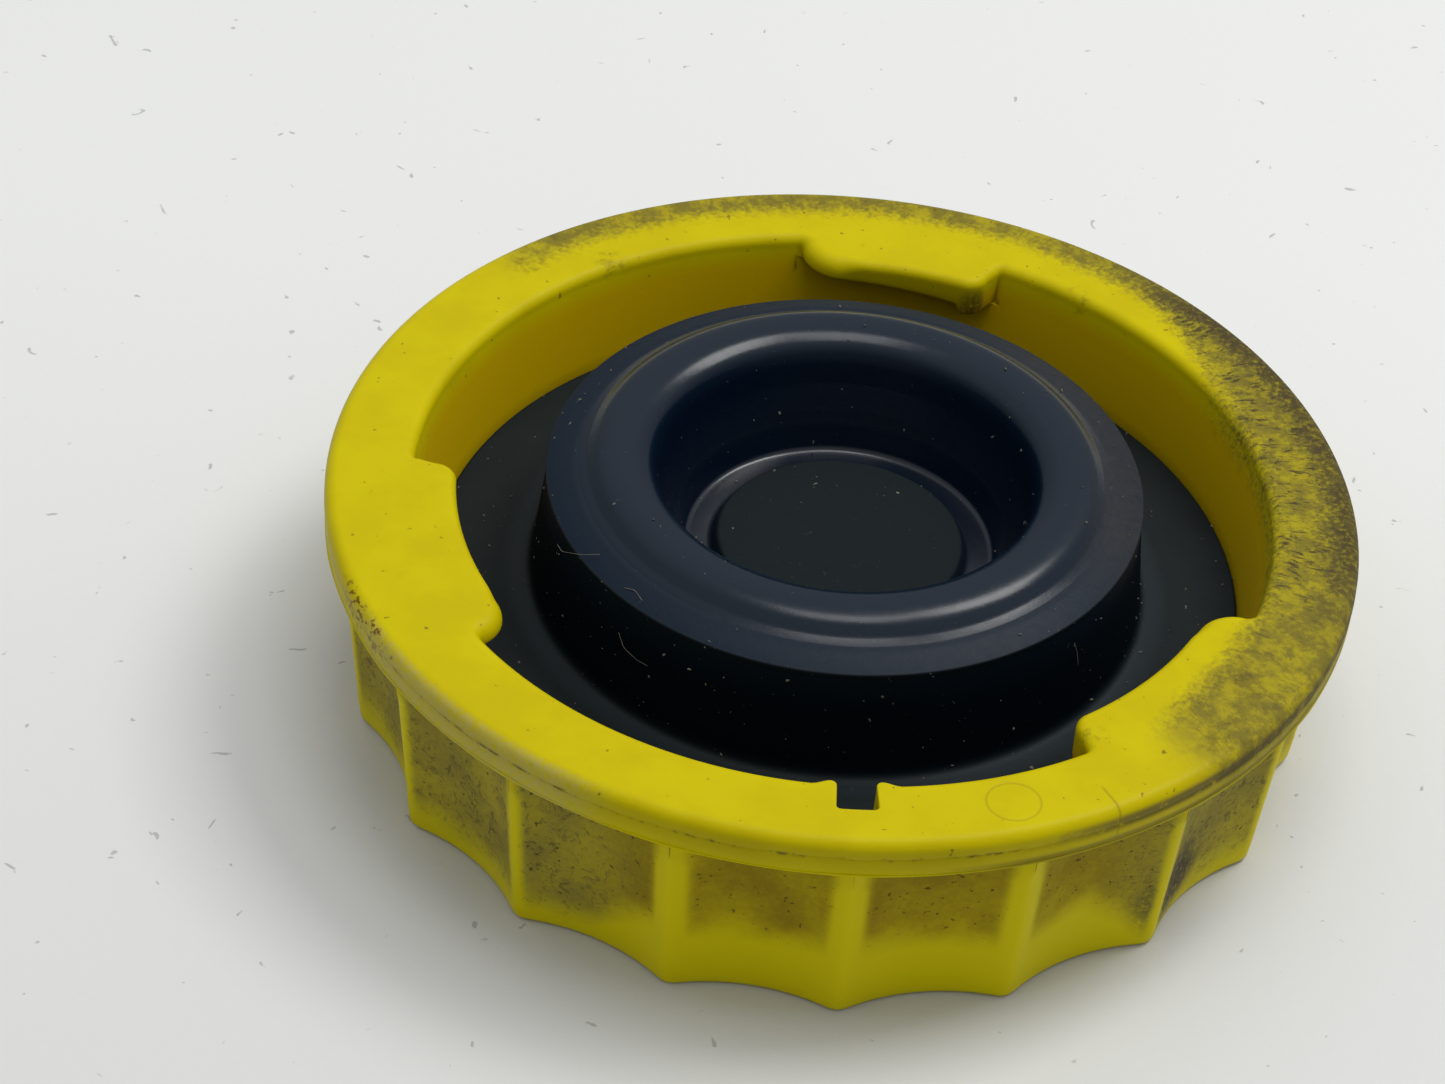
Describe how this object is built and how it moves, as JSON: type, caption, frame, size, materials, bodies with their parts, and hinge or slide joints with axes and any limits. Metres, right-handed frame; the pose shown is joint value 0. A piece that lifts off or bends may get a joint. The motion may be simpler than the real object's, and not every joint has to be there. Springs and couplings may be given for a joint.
{
  "type": "bayonet reservoir cap",
  "caption": "Fluted yellow quarter-turn fluid reservoir cap, lying on its closed face, with bayonet lugs, a vent slot and a dark rubber bellows diaphragm inside.",
  "frame": {"origin": "centre of the closed face, which is the lowest face as the cap lies with its mouth up", "axes": "+Z along the cap's axis, out of the mouth; the vent slot is close to -Y, at 275.3 degrees from +X"},
  "size_m": [0.07, 0.07, 0.0203],
  "materials": {
    "yellow_plastic": "satin moulded polypropylene, worn and grimy in the flutes",
    "rubber": "matt moulded rubber, with a satin sheen on the crown"
  },
  "bodies": {
    "cap": {"cap_moulding": "yellow_plastic"},
    "diaphragm": {"seal_flange": "rubber", "bellows_wall": "rubber", "rolling_wall": "rubber"},
    "cup": {"centre_cup": "rubber"}
  },
  "joints": [
    {"name": "diaphragm_turn", "type": "hinge", "parent": "cap", "child": "diaphragm", "pos_m": [0, 0, 0.0172], "axis": [0, 0, 1], "continuous": true},
    {"name": "cup_travel", "type": "slide", "parent": "diaphragm", "child": "cup", "axis": [0, 0, 1], "range_m": [-0.003, 0.0035], "stiffness_N_per_m": 150, "deforming": ["rolling_wall"]}
  ]
}
